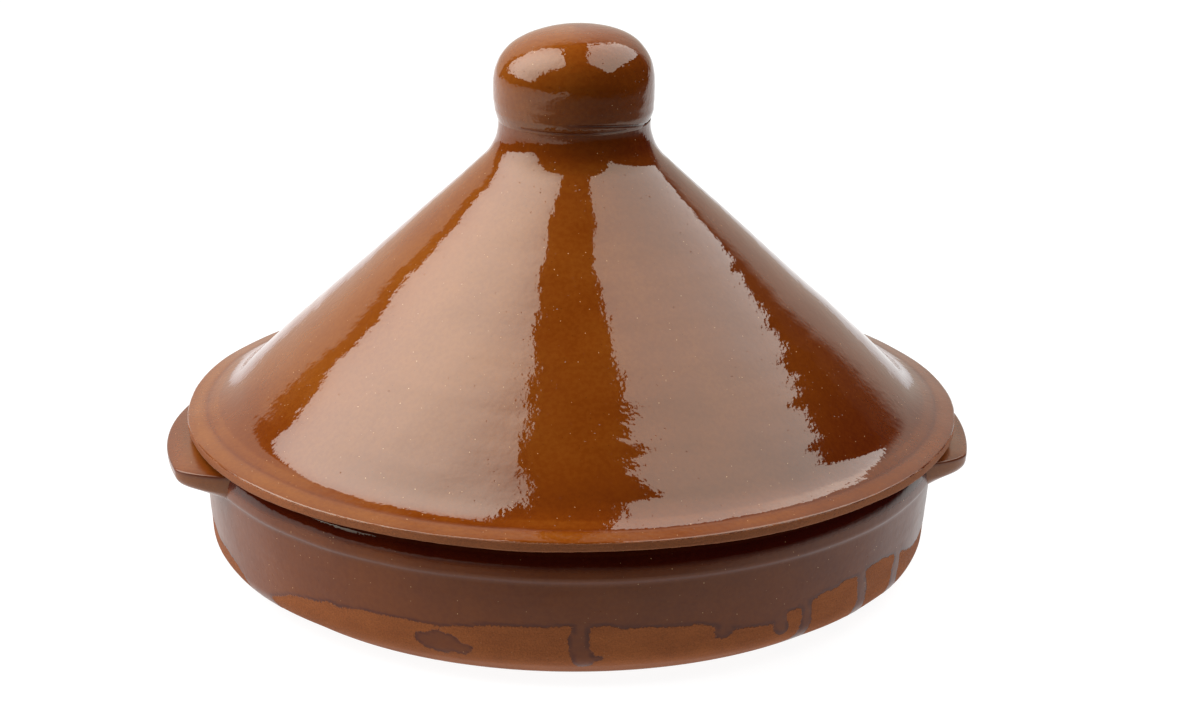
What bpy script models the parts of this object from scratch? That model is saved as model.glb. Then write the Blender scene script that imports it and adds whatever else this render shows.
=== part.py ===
"""A glazed terracotta tagine: a round dish with two lugs, under a conical lid with a hollow knob.

Metres, +Z up. The dish stands on z = 0, everything is turned about the Z axis, and the lugs lie on -X and +X.
Flat outlines are lists of (x, y, corner radius) in millimetres, and turned ones run down the outer side.
"""

import math

import bmesh
import bpy
from mathutils import Matrix, Vector

MM = 0.001
GAP = 0.3  # clearance between pieces that touch, in millimetres like all the sizes below
STEPS = 60  # facets round the dish and the cone
KNOB_STEPS = 44
ARC_STEP = math.radians(20)
LONGEST_CHORD = 14.0

# Dish
BASE_R = 118.5
HEEL_TOP = 9.8
WALL_R = 131.4
BEAD_R = 133.3
BEAD_BOTTOM = 38.3
RIM_TOP = 52.0
RIM_INNER_R = 124.6
FLOOR_TOP = 7.5
FLOOR_R = 120.5

# Lugs
LUG_REACH = 146.2
LUG_TOP = 48.4
LUG_BOTTOM = 38.8
LUG_HALF_LENGTH = 51.0
LUG_OUTER_ARC_R = 185.0
LUG_ROOT_X = 116.0

# Lid
BRIM_R = 140.0
BRIM_BOTTOM = RIM_TOP + GAP
BRIM_EDGE_TOP = 55.8
BRIM_CORNER = (130.6, 57.5)
CONE_MIDDLE = (76.9, 105.0)
CONE_TOP = (26.7, 151.9)
NECK_R = 26.6
NECK_TOP = 161.0
WALL_SPREAD = 8.6  # how far the cone's inside lies within its outside, measured level
LIP_OUTER_R = 121.8
LIP_BOTTOM = 46.5
NECK_HOLE_R = 16.5

# Knob
KNOB_BOTTOM = NECK_TOP + GAP
KNOB_R = 28.6
KNOB_MIDDLE = 173.9
KNOB_TOP = 195.5
KNOB_SQUARENESS = 2.2  # 2 is an ellipse, and more is squarer
KNOB_WALL = 7.5


def clear_scene():
    for obj in list(bpy.data.objects):
        bpy.data.objects.remove(obj, do_unlink=True)


def make_collection(name):
    collection = bpy.data.collections.new(name)
    bpy.context.scene.collection.children.link(collection)
    return collection


def make_material(name, color, roughness):
    material = bpy.data.materials.new(name)
    material.use_nodes = True
    shader = material.node_tree.nodes["Principled BSDF"]
    shader.inputs["Base Color"].default_value = (*color, 1)
    shader.inputs["Roughness"].default_value = roughness
    shader.inputs["Metallic"].default_value = 0
    return material


def arc(centre, start, turn):
    """Points from start, turned about centre by the signed angle turn."""
    length = abs(turn) * (start - centre).length
    steps = max(1, math.ceil(abs(turn) / ARC_STEP), math.ceil(length / LONGEST_CHORD))
    points = []
    for step in range(steps + 1):
        angle = turn * step / steps
        cos, sin = math.cos(angle), math.sin(angle)
        x, y = start - centre
        points.append(centre + Vector((cos * x - sin * y, sin * x + cos * y)))
    return points


def rounded(outline):
    """The outline with each corner (x, y, radius) made an arc of that radius."""
    points = []
    for i, (x, y, radius) in enumerate(outline):
        corner = Vector((x, y))
        if radius == 0:
            points.append(corner)
            continue
        back = (Vector(outline[i - 1][:2]) - corner).normalized()
        ahead = (Vector(outline[(i + 1) % len(outline)][:2]) - corner).normalized()
        half = back.angle(ahead) / 2
        centre = corner + (back + ahead).normalized() * radius / math.sin(half)
        turn = math.copysign(math.pi - 2 * half, ahead.cross(back))
        points += arc(centre, corner + back * radius / math.tan(half), turn)
    return points


def superellipse_dome(radius, bottom, top, steps):
    """Points from the axis at top, outward and down to radius at bottom."""
    points = []
    for step in range(steps + 1):
        angle = math.pi / 2 * step / steps
        across = math.sin(angle) ** (2 / KNOB_SQUARENESS)
        up = math.cos(angle) ** (2 / KNOB_SQUARENESS) if step < steps else 0
        points.append(Vector((radius * across, bottom + (top - bottom) * up)))
    return points


def turned(name, profile, closed, steps, material, collection):
    """A solid of revolution about Z, from a profile of (radius, height) points."""
    mesh = bpy.data.meshes.new(name)
    points = [(x * MM, 0, z * MM) for x, z in profile]
    edges = [(i, i + 1) for i in range(len(points) - 1)]
    if closed:
        edges.append((len(points) - 1, 0))
    mesh.from_pydata(points, edges, [])
    obj = bpy.data.objects.new(name, mesh)
    collection.objects.link(obj)
    screw = obj.modifiers.new("turn", "SCREW")
    screw.axis = "Z"
    screw.steps = steps
    screw.render_steps = steps
    screw.use_smooth_shade = True
    screw.use_merge_vertices = True
    screw.merge_threshold = 0.00001
    mesh.materials.append(material)
    return obj


def make_dish(material, collection):
    profile = [
        (0, FLOOR_TOP, 0),
        (FLOOR_R, FLOOR_TOP, 15),
        (RIM_INNER_R, RIM_TOP, 2.2),
        (BEAD_R, RIM_TOP, 6.2),
        (BEAD_R, BEAD_BOTTOM, 1.2),
        (WALL_R, BEAD_BOTTOM - 1.2, 1.2),
        (WALL_R, HEEL_TOP, 5),
        (BASE_R, 0, 3),
        (0, 0, 0),
    ]
    return turned("dish", rounded(profile), False, STEPS, material, collection)


def make_root_cutter(collection):
    """A cylinder just clear of the dish's rim bead, which shapes the root of each lug."""
    mesh = bpy.data.meshes.new("lug_root_cutter")
    shape = bmesh.new()
    radius = (BEAD_R + GAP) * MM
    bmesh.ops.create_cone(
        shape, cap_ends=True, segments=STEPS, radius1=radius, radius2=radius, depth=3 * RIM_TOP * MM
    )
    shape.to_mesh(mesh)
    shape.free()
    cutter = bpy.data.objects.new("lug_root_cutter", mesh)
    collection.objects.link(cutter)
    cutter.hide_render = True
    cutter.display_type = "WIRE"
    return cutter


def lug_outline():
    """The plan of the lug on +X: a long shelf whose outer edge is flatter than the dish."""
    centre = Vector((LUG_REACH - LUG_OUTER_ARC_R, 0))
    spread = math.asin((LUG_HALF_LENGTH - 6) / LUG_OUTER_ARC_R)
    start = centre + LUG_OUTER_ARC_R * Vector((math.cos(spread), -math.sin(spread)))
    outer = [(*point, 0) for point in arc(centre, start, 2 * spread)]
    corner_x = start.x - 1
    low_end = [(LUG_ROOT_X, -LUG_HALF_LENGTH - 4, 0), (corner_x, -LUG_HALF_LENGTH, 5)]
    high_end = [(corner_x, LUG_HALF_LENGTH, 5), (LUG_ROOT_X, LUG_HALF_LENGTH + 4, 0)]
    return rounded(low_end + outer + high_end)


def make_lug(name, side, cutter, material, collection):
    """A shelf with a flat top and a rounded underside, on +X for side 1 and -X for side -1."""
    shape = bmesh.new()
    corners = [shape.verts.new((x * MM, y * MM, LUG_TOP * MM)) for x, y in lug_outline()]
    top = shape.faces.new(corners)
    thick = bmesh.ops.extrude_face_region(shape, geom=[top])
    low = [item for item in thick["geom"] if isinstance(item, bmesh.types.BMVert)]
    bmesh.ops.translate(shape, verts=low, vec=(0, 0, (LUG_BOTTOM - LUG_TOP) * MM))
    bmesh.ops.recalc_face_normals(shape, faces=shape.faces)
    for height, width, segments in ((LUG_BOTTOM, 5.0, 3), (LUG_TOP, 1.2, 2)):
        edges = [e for e in shape.edges if all(abs(v.co.z - height * MM) < 1e-6 for v in e.verts)]
        bmesh.ops.bevel(
            shape, geom=edges, offset=width * MM, segments=segments, profile=0.5, affect="EDGES"
        )
    if side < 0:
        bmesh.ops.rotate(shape, verts=shape.verts, matrix=Matrix.Rotation(math.pi, 3, "Z"))
    mesh = bpy.data.meshes.new(name)
    shape.to_mesh(mesh)
    shape.free()
    mesh.shade_smooth()
    mesh.set_sharp_from_angle(angle=math.radians(40))
    obj = bpy.data.objects.new(name, mesh)
    collection.objects.link(obj)
    root = obj.modifiers.new("root", "BOOLEAN")
    root.operation = "DIFFERENCE"
    root.solver = "EXACT"
    root.object = cutter
    mesh.materials.append(material)
    return obj


def make_lid_cone(material, collection):
    """Neck, cone, brim and the lip that drops inside the dish's rim, open at both ends."""
    lip_inner_r = LIP_OUTER_R - 5
    cone_low_r = BRIM_CORNER[0] - WALL_SPREAD - 4
    profile = [
        (NECK_R, NECK_TOP, 0),
        (*CONE_TOP, 16),
        (*CONE_MIDDLE, 900),
        (*BRIM_CORNER, 8),
        (BRIM_R, BRIM_EDGE_TOP, 1),
        (BRIM_R, BRIM_BOTTOM, 0.8),
        (LIP_OUTER_R, BRIM_BOTTOM, 1),
        (LIP_OUTER_R - 0.8, LIP_BOTTOM, 1.5),
        (lip_inner_r, LIP_BOTTOM, 1.5),
        (cone_low_r, BRIM_CORNER[1] + 2, 8),
        (CONE_MIDDLE[0] - WALL_SPREAD, CONE_MIDDLE[1], 900),
        (NECK_HOLE_R, CONE_TOP[1] - 1, 6),
        (NECK_HOLE_R, NECK_TOP, 0),
    ]
    return turned("lid_cone", rounded(profile), True, STEPS, material, collection)


def make_knob(material, collection):
    """A thrown bulb, hollow and open downwards into the cone."""
    shoulder = KNOB_MIDDLE - 4
    outer = superellipse_dome(KNOB_R, KNOB_MIDDLE, KNOB_TOP, 8)
    outer += rounded(
        [
            (KNOB_R, shoulder, 0),
            (KNOB_R - 0.4, shoulder - 2, 0),
            (NECK_R, KNOB_BOTTOM + 2.5, 4),
            (NECK_R, KNOB_BOTTOM, 0),
        ]
    )
    hollow = superellipse_dome(NECK_HOLE_R, KNOB_MIDDLE - 2, KNOB_TOP - KNOB_WALL, 5)
    inner = [Vector((NECK_HOLE_R, KNOB_BOTTOM))] + hollow[::-1]
    return turned("knob", outer + inner, False, KNOB_STEPS, material, collection)


def main():
    clear_scene()
    pot = make_collection("tagine_pot")
    cutters = make_collection("cutters")
    dish_glaze = make_material("dish_glaze", (0.16, 0.045, 0.015), 0.2)
    lug_glaze = make_material("lug_glaze", (0.17, 0.05, 0.016), 0.2)
    cone_glaze = make_material("cone_glaze", (0.28, 0.085, 0.012), 0.15)
    knob_glaze = make_material("knob_glaze", (0.27, 0.08, 0.012), 0.15)
    make_dish(dish_glaze, pot)
    cutter = make_root_cutter(cutters)
    make_lug("lug_left", -1, cutter, lug_glaze, pot)
    make_lug("lug_right", 1, cutter, lug_glaze, pot)
    make_lid_cone(cone_glaze, pot)
    make_knob(knob_glaze, pot)


main()
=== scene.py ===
"""The looks of a glazed terracotta tagine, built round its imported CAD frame.

The frame is in metres. Outlines and reliefs are worked out in millimetres, as complex numbers
radius + height * j, and run down the outer side. Angles round the pot are in degrees from the
front, -Y, towards +X.
"""

import math

import bpy
import numpy as np
from mathutils import Matrix, Vector


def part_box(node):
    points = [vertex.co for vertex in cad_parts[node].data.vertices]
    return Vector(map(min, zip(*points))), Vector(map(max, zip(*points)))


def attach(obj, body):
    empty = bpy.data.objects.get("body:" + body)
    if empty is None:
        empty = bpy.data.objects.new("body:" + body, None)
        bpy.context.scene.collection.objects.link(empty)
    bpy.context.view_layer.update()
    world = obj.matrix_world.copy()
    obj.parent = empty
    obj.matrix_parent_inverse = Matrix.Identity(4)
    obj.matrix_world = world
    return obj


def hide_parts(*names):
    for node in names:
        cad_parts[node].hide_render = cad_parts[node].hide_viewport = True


MM = 0.001

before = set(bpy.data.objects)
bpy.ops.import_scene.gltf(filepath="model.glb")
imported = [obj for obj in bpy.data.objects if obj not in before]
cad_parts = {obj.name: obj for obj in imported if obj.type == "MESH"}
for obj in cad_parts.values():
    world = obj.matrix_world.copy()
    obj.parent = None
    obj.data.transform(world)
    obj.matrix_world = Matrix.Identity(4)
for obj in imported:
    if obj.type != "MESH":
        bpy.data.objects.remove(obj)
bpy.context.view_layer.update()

# The camera, which stands a little to the left of the front
CAMERA_TURN = -5.0
CAMERA_PLACE = (-0.0833, -0.9515, 0.3910)
CAMERA_AIM = (0.0076, -0.0077, 0.0724)
CAMERA_ROLL = 0.80
CAMERA_LENS = 83.57

# Each softbox in the camera's bearings: its centre in mm, its yaw, pitch and roll in degrees,
# its width and height in mm, its radiance, and how far it dims to its sides and its ends
SOFTBOXES = {
    "softbox_left": ((-797, 4, 1103), (-0.7, 38.7, -0.8), (1388, 1500), 6.6, (0.45, 0.22)),
    "softbox_right": ((599, 65, 1338), (198.1, 29.7, -16.6), (1600, 1250), 3.6, (0.05, 0.05)),
}

# How far the rim bead and the wall really swell past the frame, in mm
BEAD_SWELL = 1.7

# How the pot stands in its frame, in mm and degrees: the lid is a little off centre and tipped
DISH_SHIFT = 0.6
LID_SHIFT = 1.5
LID_TILT = 0.35
LID_PIVOT = -40.0


# ---------------------------------------------------------------- outlines and turned meshes


def rounded(outline):
    """The outline's points, with each corner (radius, height, corner radius) made an arc."""
    corners = [complex(x, y) for x, y, _ in outline]
    points = []
    for i, (corner, (_, _, radius)) in enumerate(zip(corners, outline)):
        if radius == 0:
            points.append(corner)
            continue
        back = corners[i - 1] - corner
        ahead = corners[(i + 1) % len(corners)] - corner
        back /= abs(back)
        ahead /= abs(ahead)
        half = abs(np.angle(back / ahead)) / 2
        centre = corner + (back + ahead) / abs(back + ahead) * radius / math.sin(half)
        start = corner + back * radius / math.tan(half) - centre
        end = corner + ahead * radius / math.tan(half) - centre
        turn = np.angle(end / start) * np.linspace(0, 1, 24)
        points += list(centre + start * np.exp(1j * turn))
    return points


def spaced(points, gap):
    """The same line with its points gap(point) apart."""
    points = np.array(points)
    length = np.concatenate([[0], np.cumsum(abs(np.diff(points)))])
    fine = np.linspace(0, length[-1], int(length[-1] / 0.05))
    line = np.interp(fine, length, points.real) + 1j * np.interp(fine, length, points.imag)
    rows = np.concatenate([[0], np.cumsum(np.diff(fine) / gap(line[1:]))])
    at = np.interp(np.linspace(0, rows[-1], int(rows[-1]) + 1), rows, fine)
    return np.interp(at, length, points.real) + 1j * np.interp(at, length, points.imag)


def lumps(x, y, z, size, seed, waves=14):
    """Smooth noise with lumps of about that size in mm, mostly between -1 and 1."""
    draw = np.random.default_rng(seed)
    total = 0
    for _ in range(waves):
        direction = draw.normal(size=3)
        direction *= 2 * math.pi / size * draw.uniform(0.7, 1.4) / np.linalg.norm(direction)
        phase = draw.uniform(0, 2 * math.pi)
        total = total + np.cos(direction[0] * x + direction[1] * y + direction[2] * z + phase)
    return total / math.sqrt(waves)


def smooth_step(value, low, high):
    share = np.clip((value - low) / (high - low), 0, 1)
    return share * share * (3 - 2 * share)


def stretch(value, start, full, fading, end):
    """1 between full and fading, and 0 before start and past end, smoothly."""
    return smooth_step(value, start, full) * (1 - smooth_step(value, fading, end))


def ridge(value, middle, width):
    """A bell of height 1 about the middle."""
    return np.exp(-(((value - middle) / width) ** 2))


def make_piece(name, points, faces, attributes, material):
    """A smooth mesh piece from points in mm, with one number per point for each attribute."""
    mesh = bpy.data.meshes.new(name)
    mesh.from_pydata((np.asarray(points) * MM).tolist(), [], faces)
    for key, values in attributes.items():
        layer = mesh.attributes.new(key, "FLOAT", "POINT")
        layer.data.foreach_set("value", np.asarray(values, np.float32).ravel())
    mesh.materials.append(material)
    mesh.shade_smooth()
    piece = bpy.data.objects.new(name, mesh)
    bpy.context.scene.collection.objects.link(piece)
    return piece


def turned(name, profile, closed, segments, dress, place, material):
    """A piece turned about Z. dress(r, z, angle, x, y) gives how far its surface stands proud and
    its attributes, and place(x, y, z) puts each point where it goes."""
    if closed:
        tangent = np.roll(profile, -1) - np.roll(profile, 1)
    else:
        tangent = np.gradient(profile)
    normal = (1j * tangent / abs(tangent))[:, None]
    angle = np.linspace(-180, 180, segments, endpoint=False)[None, :]
    sine, cosine = np.sin(np.radians(angle)), np.cos(np.radians(angle))
    r, z = profile.real[:, None], profile.imag[:, None]
    proud, attributes = dress(r + 0 * angle, z + 0 * angle, angle + 0 * r, r * sine, -r * cosine)
    r, z = r + proud * normal.real, z + proud * normal.imag
    points = np.stack(place(r * sine, -r * cosine, z), axis=-1)
    rows = len(profile)
    index = np.arange(rows * segments).reshape(rows, segments)
    poles = [] if closed else [row for row in (0, rows - 1) if abs(profile[row].real) < 1e-6]
    for row in poles:
        points[row] = points[row].mean(axis=0)
        index[row] = index[row, 0]
    below = np.roll(index, -1, axis=0) if closed else index[1:]
    above = index if closed else index[:-1]
    corners = [above, below, np.roll(below, -1, axis=1), np.roll(above, -1, axis=1)]
    quads = np.stack(corners, axis=-1).reshape(-1, 4)
    used, quads = np.unique(quads, return_inverse=True)
    faces = [list(dict.fromkeys(face)) for face in quads.reshape(-1, 4).tolist()]
    attributes = {key: (value + 0 * r).reshape(-1)[used] for key, value in attributes.items()}
    return make_piece(name, points.reshape(-1, 3)[used], faces, attributes, material)


# ---------------------------------------------------------------- material nodes


def add(tree, kind, inputs=None, **settings):
    """A new node with its settings made and each input set to a value or linked to a socket."""
    node = tree.nodes.new(kind)
    for key, value in settings.items():
        setattr(node, key, value)
    for key, value in (inputs or {}).items():
        if isinstance(value, bpy.types.NodeSocket):
            tree.links.new(value, node.inputs[key])
        else:
            node.inputs[key].default_value = value
    return node


def calculate(tree, operation, first, second=0.0, third=0.0):
    inputs = {0: first, 1: second, 2: third}
    return add(tree, "ShaderNodeMath", inputs, operation=operation).outputs[0]


def fade(tree, value, low, high, to_low=0.0, to_high=1.0):
    """value from low to high becomes to_low to to_high, smoothly."""
    inputs = {"Value": value, 1: low, 2: high, 3: to_low, 4: to_high}
    return add(tree, "ShaderNodeMapRange", inputs, interpolation_type="SMOOTHSTEP").outputs[0]


def noise(tree, place, size, detail=2.0, stretch=(1, 1, 1)):
    """Noise from 0 to 1 with features of about that size in mm."""
    if stretch != (1, 1, 1):
        scaled = add(tree, "ShaderNodeMapping", {"Vector": place, "Scale": stretch})
        place = scaled.outputs[0]
    inputs = {"Vector": place, "Scale": 1 / (size * MM), "Detail": detail}
    return add(tree, "ShaderNodeTexNoise", inputs).outputs["Fac"]


def dots(tree, place, size, share, edge=0.25):
    """Round spots of that size in mm, in about that share of the cells, 1 inside a spot."""
    cell = size * 2.4
    inputs = {"Vector": place, "Scale": 1 / (cell * MM)}
    voronoi = add(tree, "ShaderNodeTexVoronoi", inputs)
    near = fade(tree, voronoi.outputs["Distance"], size / cell / 2, size / cell / 2 * edge)
    shade = add(tree, "ShaderNodeSeparateColor", {0: voronoi.outputs["Color"]})
    chosen = calculate(tree, "LESS_THAN", shade.outputs[0], share)
    varied = calculate(tree, "MULTIPLY", near, shade.outputs[1])
    return calculate(tree, "MULTIPLY", varied, chosen)


def blend_colors(tree, share, low, high, mode="MIX"):
    settings = {"data_type": "RGBA", "blend_type": mode, "clamp_factor": True}
    return add(tree, "ShaderNodeMix", {0: share, 6: low, 7: high}, **settings).outputs[2]


def ramp(tree, value, stops):
    node = add(tree, "ShaderNodeValToRGB", {0: value})
    elements = node.color_ramp.elements
    while len(elements) < len(stops):
        elements.new(0.5)
    for element, (position, color) in zip(elements, stops):
        element.position = position
        element.color = (*color, 1)
    return node.outputs[0]


GLAZE_COLORS = [
    (0.00, (0.400, 0.150, 0.045)),
    (0.25, (0.235, 0.068, 0.0072)),
    (0.50, (0.155, 0.0320, 0.0022)),
    (0.75, (0.086, 0.0115, 0.0012)),
    (1.00, (0.050, 0.0032, 0.0010)),
]


def fired_clay(name, shine=0.5):
    """Terracotta under amber glaze, whose specular level is shine. The mesh says how far each
    point lies inside the glaze's edge in mm ("cover") and, from 0 to 1, how deep the glaze is
    together with painted shade in places ("depth_and_shade") and how matt ("satin")."""
    material = bpy.data.materials.new(name)
    material.use_nodes = True
    tree = material.node_tree
    shader = tree.nodes["Principled BSDF"]
    place = add(tree, "ShaderNodeTexCoord").outputs["Object"]
    cover = add(tree, "ShaderNodeAttribute", attribute_name="cover").outputs["Fac"]
    depth_and_shade = add(tree, "ShaderNodeAttribute", attribute_name="depth_and_shade").outputs["Fac"]
    satin = add(tree, "ShaderNodeAttribute", attribute_name="satin").outputs["Fac"]

    ragged = fade(tree, noise(tree, place, 0.9, 3), 0.3, 0.7, -0.35, 0.35)
    glazed = fade(tree, calculate(tree, "ADD", cover, ragged), -0.2, 0.25)

    # Glaze colour: deeper and redder where it pooled and darker where shade is painted in, with
    # slow clouds, fine flecks and pale painted glints in it
    clouds = fade(tree, noise(tree, place, 26, 4), 0.3, 0.7, -0.04, 0.04)
    curdle = fade(tree, noise(tree, place, 1.6, 3), 0.3, 0.7, -0.03, 0.03)
    depth_shade_mottle = calculate(tree, "ADD", calculate(tree, "ADD", depth_and_shade, clouds), curdle)
    glaze = ramp(tree, depth_shade_mottle, GLAZE_COLORS)
    iron = calculate(tree, "MULTIPLY", dots(tree, place, 0.45, 0.10), 0.75)
    glaze = blend_colors(tree, iron, glaze, (0.012, 0.004, 0.002, 1))
    # Pale golden dots painted into the colour as glints, standing in for sparkle off tiny bumps
    painted_glints = calculate(tree, "MULTIPLY", dots(tree, place, 0.42, 0.05), 0.95)
    glaze = blend_colors(tree, painted_glints, glaze, (0.95, 0.60, 0.30, 1))

    # Bare clay: grainy, with pale dust, darker smears and small stones
    smears = noise(tree, place, 14, 5, stretch=(1, 1, 2.5))
    clay = ramp(tree, smears, [(0.3, (0.222, 0.060, 0.0140)), (0.7, (0.272, 0.078, 0.0185))])
    grain = fade(tree, noise(tree, place, 0.5, 4), 0.3, 0.7, 0.84, 1.14)
    clay = blend_colors(tree, 1.0, clay, add_gray(tree, grain), "MULTIPLY")
    stones = calculate(tree, "MULTIPLY", dots(tree, place, 0.6, 0.12), 0.6)
    clay = blend_colors(tree, stones, clay, (0.42, 0.20, 0.09, 1))
    pits = dots(tree, place, 0.5, 0.10)
    clay = blend_colors(tree, pits, clay, (0.045, 0.014, 0.006, 1))

    tree.links.new(blend_colors(tree, glazed, clay, glaze), shader.inputs["Base Color"])

    # Gloss: a little uneven, and dull in the satin parts and the pinholes, most of them high up
    level = add(tree, "ShaderNodeSeparateXYZ", {0: place}).outputs[2]
    pitted = calculate(tree, "MULTIPLY_ADD", fade(tree, level, 0.120, 0.150), 0.35, 0.07)
    pinholes = dots(tree, place, 0.7, pitted, 0.1)
    gloss = fade(tree, noise(tree, place, 5, 3), 0.3, 0.7, 0.02, 0.05)
    gloss = calculate(tree, "MULTIPLY_ADD", pinholes, 0.5, gloss)
    gloss = calculate(tree, "MULTIPLY_ADD", satin, 0.26, gloss)
    rough = add(tree, "ShaderNodeMix", {0: glazed, 2: 0.78, 3: gloss}).outputs[0]
    tree.links.new(rough, shader.inputs["Roughness"])

    # Relief: slow waves, orange peel (coarser on the knob) and pinholes in the glaze, and
    # grain in the clay
    slow = calculate(tree, "MULTIPLY", noise(tree, place, 6.0, 1), 0.055)
    fine = calculate(tree, "MULTIPLY", noise(tree, place, 2.4, 1), 0.042)
    fine = calculate(tree, "MULTIPLY_ADD", noise(tree, place, 1.1, 1), 0.018, fine)
    fine = calculate(tree, "MULTIPLY", fine, fade(tree, level, 0.150, 0.165, 1.0, 2.2))
    holes = calculate(tree, "MULTIPLY", pinholes, -0.10)
    specks = calculate(tree, "MULTIPLY", dots(tree, place, 0.35, 0.05, 0.1), 0.03)
    skin = calculate(tree, "ADD", slow, fine)
    skin = calculate(tree, "ADD", skin, calculate(tree, "ADD", holes, specks))
    body = calculate(tree, "MULTIPLY", noise(tree, place, 0.7, 5), 0.22)
    rings = noise(tree, place, 9, 3, stretch=(0.15, 0.15, 9))
    body = calculate(tree, "ADD", body, calculate(tree, "MULTIPLY", rings, 0.12))
    height = add(tree, "ShaderNodeMix", {0: glazed, 2: body, 3: skin}).outputs[0]
    bump = add(tree, "ShaderNodeBump", {"Height": height, "Distance": MM})
    tree.links.new(bump.outputs[0], shader.inputs["Normal"])
    shader.inputs["IOR"].default_value = 1.5
    shader.inputs["Specular IOR Level"].default_value = shine
    shader.inputs["Specular Tint"].default_value = (1, 0.97, 0.82, 1)
    return material


def add_gray(tree, value):
    return add(tree, "ShaderNodeCombineColor", {0: value, 1: value, 2: value}).outputs[0]


# ---------------------------------------------------------------- the dish

# Heights on the dish in mm, and the width of the rolled rim
FLOOR_TOP = 7.5
BEAD_FOOT = 39.9
ROLL_FOOT = 42.3
ROLL_WIDTH = 7

# Where runs of glaze reach down the wall: angle, half width and lowest height. The angles of
# runs, edge and splashes are counted from the camera's bearing.
RUNS = [
    (-53.5, 2.5, -2),
    (2.1, 1.5, 7.0),
    (23.2, 1.4, 14.5),
    (33.3, 1.2, 11.0),
    (37.6, 1.1, -2),
    (50.2, 1.4, -2),
    (60.9, 1.4, -2),
    (84, 1.6, 8),
    (97, 1.2, 15),
    (126, 2.0, 3),
    (150, 1.3, 12),
    (166, 1.6, 7),
    (-172, 1.2, 14),
    (-149, 1.8, 4),
    (-131, 1.1, 13),
    (-104, 1.6, 9),
    (-84, 1.2, 15),
]
# The height of the glaze's edge between the runs
EDGE = [
    (-180, 20), (-140, 23), (-110, 17), (-80, 20), (-62, 14.5), (-57, 8), (-50, 11.5), (-46, 15.6),
    (-37, 18.4), (-27, 20), (-20, 19.5), (-9, 22.3), (5, 23.2), (10, 21.6), (19, 21.2), (26, 16.8),
    (30.5, 15.6), (36, 19.4), (42, 22.0), (47, 23.2), (56, 24.3), (64, 20.5), (70, 17.5), (80, 19),
    (110, 23), (145, 18), (180, 20),
]
# Thin splashes below the edge, each a stroke of points: angle, height and half width
SPLASHES = [
    [(-21.4, 14.2, 2.6), (-18.6, 13.8, 4.3), (-14.6, 12.4, 2.0)],
    [(3.4, 10.4, 1.3), (5.2, 11.3, 0.7)],
]


def soft_max(first, second, blend):
    gap = np.clip(0.5 + 0.5 * (first - second) / blend, 0, 1)
    return second + (first - second) * gap + blend * gap * (1 - gap)


def segment_distance(across, up, start, end):
    """Distance from (across, up) to a segment, and the share of its length where it is nearest."""
    run, rise = end[0] - start[0], end[1] - start[1]
    share = ((across - start[0]) * run + (up - start[1]) * rise) / (run * run + rise * rise)
    share = np.clip(share, 0, 1)
    return np.hypot(across - start[0] - share * run, up - start[1] - share * rise), share


def glaze_cover(angle, z, wall_r):
    """How far inside the glaze's edge a point of the wall lies in mm, below 0 on bare clay."""
    mm_per_degree = wall_r * math.pi / 180
    step = (angle[0, 1] - angle[0, 0]) * mm_per_degree
    angle = (angle - CAMERA_TURN + 180) % 360 - 180
    angles, heights = np.array(EDGE, float).T
    drift = 0.35 * lumps(angle * mm_per_degree, z, 0, 9, seed=31)
    edge = np.interp(angle, angles, heights)
    steep = np.gradient(np.interp(angle[0], angles, heights)) / step
    cover = (z - edge) / np.hypot(1, steep)[None, :]
    for middle, half_width, lowest in RUNS:
        half = half_width * mm_per_degree
        bow = 0.25 * half * np.sin(z / 3.1 + middle)
        ends = (0, 40), (0, lowest + half)
        distance, down = segment_distance((angle - middle) * mm_per_degree + bow, z, *ends)
        half = half * (0.75 + 0.35 * smooth_step(down, 0.4, 0.95))
        cover = soft_max(cover, half - distance, 1.4)
    return cover + drift


def splash_cover(angle, z, wall_r):
    mm_per_degree = wall_r * math.pi / 180
    angle = angle - CAMERA_TURN
    cover = np.full(angle.shape, -9.0)
    for stroke in SPLASHES:
        for (start, low, start_half), (end, high, end_half) in zip(stroke, stroke[1:]):
            ends = (start * mm_per_degree, low), (end * mm_per_degree, high)
            distance, share = segment_distance(angle * mm_per_degree, z, *ends)
            cover = soft_max(cover, start_half + share * (end_half - start_half) - distance, 0.8)
    return cover + 0.4 * lumps(angle * mm_per_degree, z, 0, 4, seed=32)


def stand(x, y, z):
    return x + DISH_SHIFT, y, z


def dish_gap(at):
    """How far apart the dish's rings of points are, finest on the outside of the wall."""
    inside = (at.real < 126) & (at.imag > 7)
    return np.where(at.real < 112, 5.0, np.where(inside, 1.7, 0.85))


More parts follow.
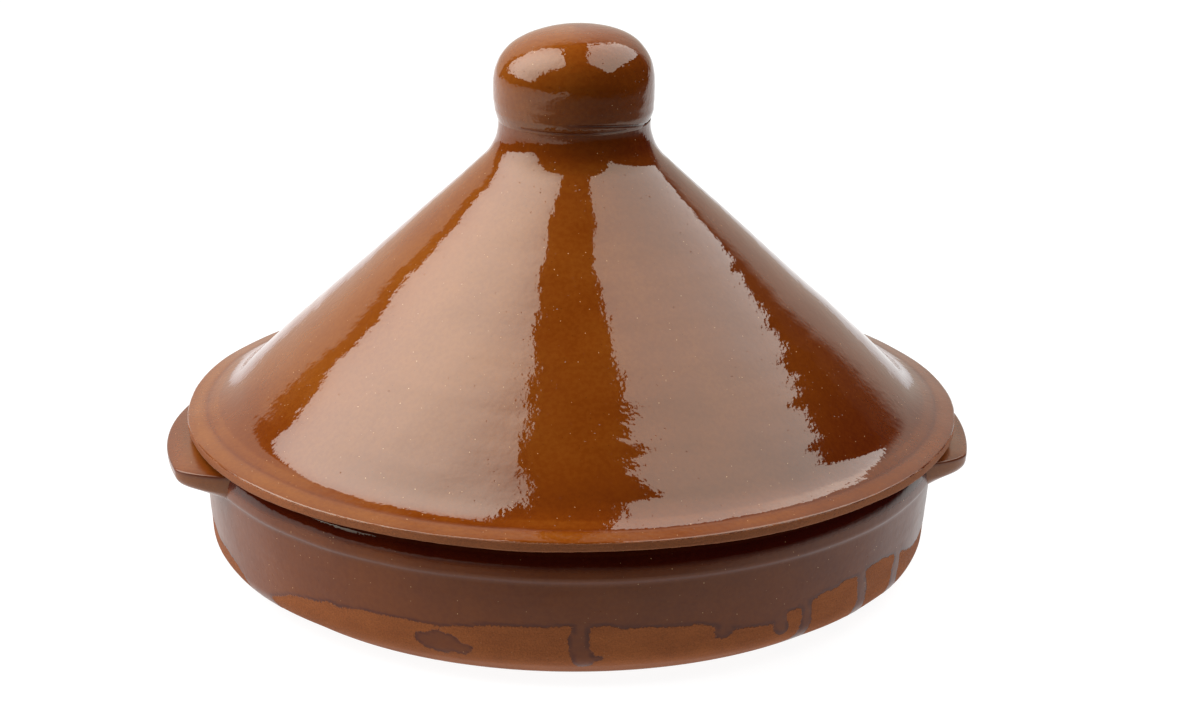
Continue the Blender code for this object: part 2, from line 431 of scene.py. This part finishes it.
def make_dish(material):
    """The dish: a thick wall with a rolled rim, glazed inside and half way down the outside."""
    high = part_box("dish")[1]
    rim_top = high.z / MM
    bead_r = high.y / MM + BEAD_SWELL
    wall_r = bead_r - 1.2
    outline = [(0, FLOOR_TOP, 0), (120.5, FLOOR_TOP, 15), (124.6, rim_top, 2.2)]
    for step in range(19):
        turn = math.radians(90 - 5 * step)
        r = bead_r - ROLL_WIDTH + ROLL_WIDTH * math.cos(turn)
        outline.append((r, ROLL_FOOT + (rim_top - ROLL_FOOT) * math.sin(turn), 0))
    outline += [
        (bead_r, BEAD_FOOT, 0.9),
        (wall_r, 38.7, 0.9),
        (wall_r - 2.6, 8.5, 8),
        (118.0, 0, 3),
        (0, 0, 0),
    ]
    profile = spaced(rounded(outline), dish_gap)
    outside = wall_r - 14

    def dress(r, z, angle, x, y):
        # The wall is glazed down to a ragged edge, and the foot is bare
        on_wall = (r > outside) & (z < 45) & ((r > 121.5) | (z < 7))
        on_base = (z < 0.5) & (r < 119)
        cover = np.where(on_wall, glaze_cover(angle, z, wall_r), 6.0)
        cover = np.where(on_base, -6.0, cover)
        splash = np.where(on_wall & ~on_base, splash_cover(angle, z, wall_r), -9.0)
        # Relief: the glaze's own thickness, a slow wobble, throwing rings and a turned foot
        thick = smooth_step(cover, -0.5, 0.6) + 0.3 * ridge(cover, 0.9, 0.9)
        proud = 0.08 * (thick - 1) + 0.04 * smooth_step(splash, -0.4, 0.5)
        proud = np.where(on_wall | on_base, proud, 0)
        outer = smooth_step(r, 118, 126)
        proud += 0.10 * lumps(x, y, z, 34, seed=3) * outer
        proud += 0.015 * lumps(x * 0.3, y * 0.3, z * 2.4, 11, seed=4) * outer
        inner_floor = (z > 5) & (r < 118)
        proud += inner_floor * 0.10 * np.sin(r / 3.4 + angle * math.pi / 180) * ridge(r, 45, 55)
        proud = np.where(on_base, -0.12 - 0.10 * np.sin(r * 1.9 + 0.2 * np.sin(angle / 30)), proud)
        # The glaze is deeper on the rim, along its own lower edge and in the splashes. The rim's
        # deeper glaze is also darkened further as painted shade under the lid's brim, and the
        # right side is painted darker and the left lighter as painted light and shade from the
        # brighter left lamp
        rim = smooth_step(z, 43.0, 45.5) * (r > 126)
        depth_and_shade = 0.60 + 0.10 * np.sin(np.radians(angle)) + 0.34 * rim
        depth_and_shade += 0.10 * ridge(z, 39.2, 0.7) * (r > outside)
        depth_and_shade = np.where(cover < 6, depth_and_shade + 0.30 * ridge(cover, 0.5, 0.55), depth_and_shade)
        depth_and_shade = np.where(splash > cover, 0.60 + 0.25 * ridge(splash, 0.4, 0.5), depth_and_shade)
        satin = (r > outside) * (1 - smooth_step(z, 43.2, 46.0))
        return proud, {"cover": np.maximum(cover, splash), "depth_and_shade": depth_and_shade, "satin": satin}

    return turned("dish", profile, False, 540, dress, stand, material)


# ---------------------------------------------------------------- the lugs


# Each lug: its side, its radius in mm as a polynomial in degrees forward of its middle, and
# its back and front ends in those degrees
LUGS = {
    "lug_left": (-1, (146.5, 0.31, -0.006), (-24, 24.0)),
    "lug_right": (1, (145.6, 0.11, 0), (-25, 24.6)),
}
LUG_ROOT = 3  # how far inside the bead's surface a lug starts, in mm
LUG_RUNOUT = 0.27  # the share of each half of a lug over which it runs out into the bead


def lug_section(reach, top, bottom):
    """A lug's outline across its length: flat on top, rounded under, reach mm past the bead."""
    outline = [
        (-LUG_ROOT, top + 1.2, 0),
        (0.4, top + 0.9, 1.5),
        (reach, top - 0.3, 0.7),
        (reach - 0.5, top - 5.6, 4.4),
        (2.5, bottom + 0.4, 5),
        (-LUG_ROOT, bottom - 0.5, 0),
    ]
    return spaced(rounded(outline), lambda at: 0.4 + 0 * at.real)


def make_lug(node, bead_r, material):
    """A shelf on the bead, for that node."""
    side, outer, (back_end, front_end) = LUGS[node]
    low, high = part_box(node)
    top, bottom = high.z / MM, low.z / MM
    reach = outer[0] - bead_r
    section = lug_section(reach, top, bottom)
    count = 141
    share = np.linspace(-1, 1, count)
    forward = np.where(share > 0, front_end, back_end) * (1 - (1 - abs(share)) ** 2.2)
    full = outer[0] + outer[1] * forward + outer[2] * forward**2 - bead_r
    to_end = 1 - np.where(forward > 0, forward / front_end, forward / back_end)
    stick_out = full * (1 - np.clip(1 - to_end / LUG_RUNOUT, 0, 1) ** 1.5)
    rows = []
    for angle, out in zip(forward, stick_out):
        r = bead_r - LUG_ROOT + (section.real + LUG_ROOT) * (out + 2.2) / (reach + LUG_ROOT)
        around = math.radians(side * (90 - angle))
        row = stand(r * math.sin(around), -r * math.cos(around), section.imag)
        rows.append(np.stack(row, axis=-1))
    points = np.array(rows)
    x, y, z = points[..., 0], points[..., 1], points[..., 2]
    points[..., 2] += 0.06 * lumps(x, y, z, 26, seed=41)
    flat = points.reshape(-1, 3)
    index = np.arange(len(flat)).reshape(count, -1)
    wrap = np.concatenate([index, index[:, :1]], axis=1)
    corners = [wrap[:-1, :-1], wrap[:-1, 1:], wrap[1:, 1:], wrap[1:, :-1]]
    faces = np.stack(corners, axis=-1).reshape(-1, 4).tolist()
    faces += [index[0].tolist()[::-1], index[-1].tolist()]
    if side > 0:
        faces = [face[::-1] for face in faces]
    depth_and_shade = 0.44 + 0.26 * ridge(flat[:, 2], top - 0.8, 0.7) + 0.1 * ridge(flat[:, 2], bottom, 2)
    attributes = {"cover": 6 + 0 * depth_and_shade, "depth_and_shade": depth_and_shade, "satin": 0.8 + 0 * depth_and_shade}
    return make_piece(node + "_finish", flat, faces, attributes, material)


# ---------------------------------------------------------------- the lid


def seat_lid(x, y, z):
    """Puts the lid's points where it really sits, shifted and tipped by a hair."""
    tip = math.radians(LID_TILT)
    return x + LID_SHIFT, y, z + (x - LID_PIVOT) * tip


def lid_relief(x, y, z):
    """How the thrown lid departs from true: a little out of round, with faint throwing rings."""
    wide = 0.22 * lumps(x, y, z, 75, seed=11) + 0.055 * lumps(x, y, z, 24, seed=12)
    return wide + 0.03 * lumps(x * 0.15, y * 0.15, z * 2, 9, seed=13)


def wall_middle(r):
    """The height midway between the cone's inside and outside, at that radius."""
    return 100 + (76.9 - r) * 0.93


def lid_gap(at):
    """How far apart the lid's rings of points are, finest at the brim and the neck."""
    inside = at.imag < wall_middle(at.real)
    coarse = np.where(inside, 2.2, 1.3)
    return np.where(at.real > 134, 0.45, np.where((at.imag > 148) & (at.real > 20), 0.5, coarse))


def make_lid_cone(material):
    """Neck, cone, brim and lip, open at both ends."""
    low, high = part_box("lid_cone")
    brim_r, brim_bottom, neck_top = high.y / MM, 52.7, high.z / MM
    lip_bottom = low.z / MM
    # Down the outside from the neck, round the brim and the lip, and up the inside
    outline = [
        (27.1, neck_top + 0.2, 0.05),
        (26.4, 153.1, 19),
        (77.8, 105.0, 300),
        (96.0, 88.6, 200),
        (127.7, 58.4, 24),
        (brim_r + 0.3, 55.5, 0.5),
        (brim_r + 0.2, 51.9, 0.9),
        (134.5, brim_bottom, 3),
        (121.8, brim_bottom, 1),
        (121.0, lip_bottom, 1.5),
        (116.8, lip_bottom, 1.5),
        (117.0, 60.0, 8),
        (69.2, 105.0, 900),
        (16.5, 150.9, 6),
        (16.5, neck_top + 0.2, 0.15),
    ]
    profile = rounded(outline)
    profile = spaced(profile + profile[:1], lid_gap)[:-1]

    def dress(r, z, angle, x, y):
        outer = z > wall_middle(r)
        brim = r > 126
        edge = (r > brim_r - 0.6) & (z < 55.35)
        under = (z < 53.2) & (r > 115) & ~edge
        lip = (r > 110) & (z < 53.2) & (r < 123)
        # The glaze is deeper at the neck, at the cone's foot and on the brim. The left side is
        # painted lighter and the right side darker, as painted light and shade from the brighter
        # left lamp
        collar = smooth_step(z, 150, 154.5) * outer
        painted_side_light = 0.12 * np.cos(np.radians(angle + 70))
        low_part = 0.12 * (1 - smooth_step(z, 60, 85)) * outer * (r < 129)
        depth_and_shade = 0.50 - painted_side_light + 0.12 * collar + low_part - 0.08 * ridge(r, 136.5, 2.2) * outer
        depth_and_shade += (0.12 * ridge(r, 133.2, 0.8) + 0.06 * smooth_step(r, 128, 131)) * outer
        # The brim's edge, its underside and the lip are bare
        cover = np.where(under | lip | edge, -6.0, 6.0)
        wander = 0.12 * lumps(x, y, 0 * z, 9, seed=14)
        cover = np.where((r > brim_r - 0.6) & ~under, (z - 55.25 - wander) * 3, cover)
        # Relief: out of round outside, throwing rings inside, and faint grooves on the brim
        proud = lid_relief(x, y, z) * (outer | brim)
        proud += ~outer * ~brim * 0.12 * np.sin(z / 2.6 + angle * math.pi / 180) * (z > 60)
        proud += edge * 0.04 * lumps(x, y, z, 3, seed=15)
        proud += outer * (0.05 * ridge(r, 131.2, 0.9) - 0.08 * ridge(r, 133.3, 0.8))
        return proud, {"cover": cover, "depth_and_shade": depth_and_shade}

    return turned("lid_cone", profile, True, 360, dress, seat_lid, material)


def knob_gap(at):
    """How far apart the knob's rings of points are, finest outside at its foot."""
    return np.where((at.imag < 169) & (at.real > 25), 0.3, 0.8)


def make_knob(material):
    """The thrown bulb, hollow from below, with a crease and turned grooves at its foot."""
    low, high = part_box("knob")
    knob_r, top, foot = high.y / MM, high.z / MM, low.z / MM
    middle, square = 173.3, 2.5
    top -= 1.0
    turn = np.radians(np.linspace(0, 90, 80))
    across, up = np.sin(turn) ** (2 / square), np.cos(turn) ** (2 / square)
    dome = knob_r * across + 1j * (middle + (top - middle) * up)
    dome[0] = complex(0, top)
    dome[-1] = complex(knob_r, middle)
    skirt = rounded(
        [
            (knob_r, middle - 4, 0),
            (28.3, 165.4, 5),
            (27.1, foot - 0.1, 0.05),
            (17.0, foot - 0.1, 0.4),
        ]
    )
    bore = np.radians(np.linspace(90, 0, 40))
    hollow = 16.5 * np.sin(bore) + 1j * (middle - 2 + 16.1 * np.cos(bore))
    hollow[-1] = complex(0, middle + 14.1)
    inside = [complex(16.5, foot - 0.6)] + list(hollow)
    profile = spaced(list(dome) + skirt + inside, knob_gap)
    profile[0] = complex(0, profile[0].imag)
    profile[-1] = complex(0, profile[-1].imag)

    def dress(r, z, angle, x, y):
        outer = (r > 17) | (z > middle + 15)
        # The join's crease runs round the front and the right, where the bulb is pinched in
        crease_z = 165.2 - 4.0 * smooth_step(angle, 0, 90)
        crease = ridge(z, crease_z, 0.45) * stretch(angle, -15, 5, 100, 140)
        groove = ridge(z, 162.4, 0.4) * stretch(angle, -60, -40, 30, 50)
        pinch = ridge(z, crease_z - 1, 2.2) * stretch(angle, 50, 85, 100, 150)
        proud = lid_relief(x, y, z) * outer
        proud += outer * (-0.22 * crease - 0.10 * groove - 0.8 * pinch)
        # Deeper glaze in the crease and groove; the left side is painted lighter and the right
        # darker, as painted light and shade from the brighter left lamp
        depth_and_shade = 0.50 + 0.40 * crease + 0.25 * groove - 0.12 * np.cos(np.radians(angle + 70))
        return proud, {"cover": 6 + 0 * r, "depth_and_shade": depth_and_shade}

    def place(x, y, z):
        up = np.clip((z - middle) / (top - middle), 0, 1)
        return seat_lid(x - 0.3 * smooth_step(z, 162, 172), y, z + up * x * 0.045)

    return turned("knob", profile, False, 240, dress, place, material)


# ---------------------------------------------------------------- studio


def softbox(name, centre, turns, sides, radiance, dim):
    """A rectangle of light, dimmer to its edges, as SOFTBOXES gives it."""
    yaw, pitch, roll = (math.radians(turn) for turn in turns)
    ahead = Vector((math.cos(yaw), math.sin(yaw), 0))
    facing = math.cos(pitch) * ahead - math.sin(pitch) * Vector((0, 0, 1))
    across = Vector((-math.sin(yaw), math.cos(yaw), 0))
    up = across.cross(facing)
    if up.z < 0:
        across, up = -across, -up
    axes = Matrix((across, up, -facing)).transposed()
    axes = axes @ Matrix.Rotation(roll, 3, "Z")
    light = bpy.data.lights.new(name, "AREA")
    light.shape = "RECTANGLE"
    light.size, light.size_y = (side * MM for side in sides)
    light.energy = radiance * math.pi * light.size * light.size_y
    light.use_nodes = True
    tree = light.node_tree
    across_up = add(tree, "ShaderNodeNewGeometry").outputs["Parametric"]
    axes_of = add(tree, "ShaderNodeSeparateXYZ", {0: across_up}).outputs
    strength = 1.0
    for axis, drop in zip(axes_of, dim):
        off = calculate(tree, "MULTIPLY_ADD", axis, 2.0, -1.0)
        off = calculate(tree, "MULTIPLY", calculate(tree, "MULTIPLY", off, off), -drop)
        strength = calculate(tree, "ADD", off, strength)
    tree.links.new(strength, tree.nodes["Emission"].inputs["Strength"])
    lamp = bpy.data.objects.new(name, light)
    bearing = Matrix.Rotation(math.radians(CAMERA_TURN), 4, "Z")
    lamp.matrix_world = bearing @ (Matrix.Translation(Vector(centre) * MM) @ axes.to_4x4())
    bpy.context.scene.collection.objects.link(lamp)


def stage_material(name, albedo):
    material = bpy.data.materials.new(name)
    material.use_nodes = True
    shader = material.node_tree.nodes["Principled BSDF"]
    shader.inputs["Base Color"].default_value = (albedo, albedo, albedo, 1)
    shader.inputs["Roughness"].default_value = 1
    shader.inputs["Specular IOR Level"].default_value = 0
    shader.inputs["Emission Color"].default_value = (1, 1, 1, 1)
    return material


def glow_between(tree, value, dark, bright):
    """1 past bright, 0 past dark, with a soft edge."""
    if dark < bright:
        return fade(tree, value, dark, bright)
    return calculate(tree, "SUBTRACT", 1.0, fade(tree, value, bright, dark))


def make_floor():
    """A wide pale floor that glows softly, except in front of the pot and far to its right,
    where the dark stripes in the glaze are reflected from."""
    material = stage_material("pale_floor", 0.16)
    tree = material.node_tree
    place = add(tree, "ShaderNodeTexCoord").outputs["Object"]
    axes = add(tree, "ShaderNodeSeparateXYZ", {0: place}).outputs
    behind = calculate(tree, "MAXIMUM", axes[1], 0.0)
    right = calculate(tree, "SUBTRACT", axes[0], calculate(tree, "MULTIPLY", behind, 0.9))
    front_glow = glow_between(tree, axes[1], -0.24, -0.165)
    left_glow = glow_between(tree, axes[0], -0.25, -0.60)
    glow = calculate(tree, "MAXIMUM", front_glow, left_glow)
    glow = calculate(tree, "MULTIPLY", glow, glow_between(tree, right, 0.50, 0.25))
    glow = calculate(tree, "MULTIPLY", glow, 0.93)
    tree.links.new(glow, tree.nodes["Principled BSDF"].inputs["Emission Strength"])
    mesh = bpy.data.meshes.new("floor")
    side = 12
    corners = [(-side, -side, 0), (side, -side, 0), (side, side, 0), (-side, side, 0)]
    mesh.from_pydata(corners, [], [(0, 1, 2, 3)])
    mesh.materials.append(material)
    floor = bpy.data.objects.new("floor", mesh)
    floor.rotation_euler.z = math.radians(CAMERA_TURN)
    floor.location.z = -0.0004
    bpy.context.scene.collection.objects.link(floor)


def make_backdrop():
    """A curved white wall behind the pot that glows as a light, brighter on the left and upwards,
    with soft edges.
    """
    material = stage_material("backdrop", 0.1)
    tree = material.node_tree
    place = add(tree, "ShaderNodeTexCoord").outputs["Object"]
    axes = add(tree, "ShaderNodeSeparateXYZ", {0: place}).outputs
    radius, top_angle, steps = 2.8, 60, 72
    tree.nodes["Principled BSDF"].inputs["Emission Color"].default_value = (1, 0.94, 0.82, 1)
    bearing = calculate(tree, "ARCTAN2", axes[0], axes[1])
    rise = calculate(tree, "ARCTAN2", axes[2], radius)
    left = glow_between(tree, bearing, 0.0, math.radians(-20))
    glow = calculate(tree, "MULTIPLY_ADD", left, 0.04, 0.66)
    upward = fade(tree, rise, math.radians(5), math.radians(45), 1.0, 1.25)
    glow = calculate(tree, "MULTIPLY", glow, upward)
    for value, dark, bright in (
        (bearing, math.radians(-46.8), math.radians(-45.2)),
        (bearing, math.radians(45), math.radians(36)),
        (rise, math.radians(58), math.radians(44)),
    ):
        glow = calculate(tree, "MULTIPLY", glow, glow_between(tree, value, dark, bright))
    tree.links.new(glow, tree.nodes["Principled BSDF"].inputs["Emission Strength"])
    top = radius * math.tan(math.radians(top_angle))
    bearings = [math.radians(-50 + 100 * i / steps) for i in range(steps + 1)]
    points = [(radius * math.sin(b), radius * math.cos(b), z) for b in bearings for z in (0, top)]
    faces = [(2 * i, 2 * i + 1, 2 * i + 3, 2 * i + 2) for i in range(steps)]
    mesh = bpy.data.meshes.new("backdrop")
    mesh.from_pydata(points, [], faces)
    mesh.materials.append(material)
    wall = bpy.data.objects.new("backdrop", mesh)
    wall.rotation_euler.z = math.radians(CAMERA_TURN)
    bpy.context.scene.collection.objects.link(wall)


def make_studio():
    scene = bpy.context.scene
    scene.view_settings.view_transform = "Standard"
    world = bpy.data.worlds.new("dim_room")
    world.use_nodes = True
    world.node_tree.nodes["Background"].inputs["Color"].default_value = (0.02, 0.02, 0.02, 1)
    scene.world = world
    for name, settings in SOFTBOXES.items():
        softbox(name, *settings)
    make_floor()
    make_backdrop()


def make_camera():
    camera = bpy.data.cameras.new("camera")
    camera.lens = CAMERA_LENS
    camera.sensor_width = 36
    obj = bpy.data.objects.new("camera", camera)
    place, aim = Vector(CAMERA_PLACE), Vector(CAMERA_AIM)
    facing = (aim - place).to_track_quat("-Z", "Y").to_matrix()
    facing = facing @ Matrix.Rotation(math.radians(CAMERA_ROLL), 3, "Z")
    obj.matrix_world = Matrix.Translation(place) @ facing.to_4x4()
    bpy.context.scene.collection.objects.link(obj)
    bpy.context.scene.camera = obj


def main():
    make_camera()
    make_studio()
    dish_glaze = fired_clay("dish_glaze_over_clay", shine=0.3)
    lug_glaze = fired_clay("lug_glaze_over_clay")
    lid_glaze = fired_clay("lid_glaze_over_clay")
    bead_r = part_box("dish")[1].y / MM + BEAD_SWELL
    made = [
        (make_dish(dish_glaze), "dish", "dish", "dish_glaze"),
        (make_lug("lug_left", bead_r, lug_glaze), "dish", "lug_left", "dish_glaze"),
        (make_lug("lug_right", bead_r, lug_glaze), "dish", "lug_right", "dish_glaze"),
        (make_lid_cone(lid_glaze), "lid", "lid_cone", "lid_glaze"),
        (make_knob(lid_glaze), "lid", "knob", "lid_glaze"),
    ]
    for piece, body, node, slot in made:
        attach(piece, body)
        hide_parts(node)


main()
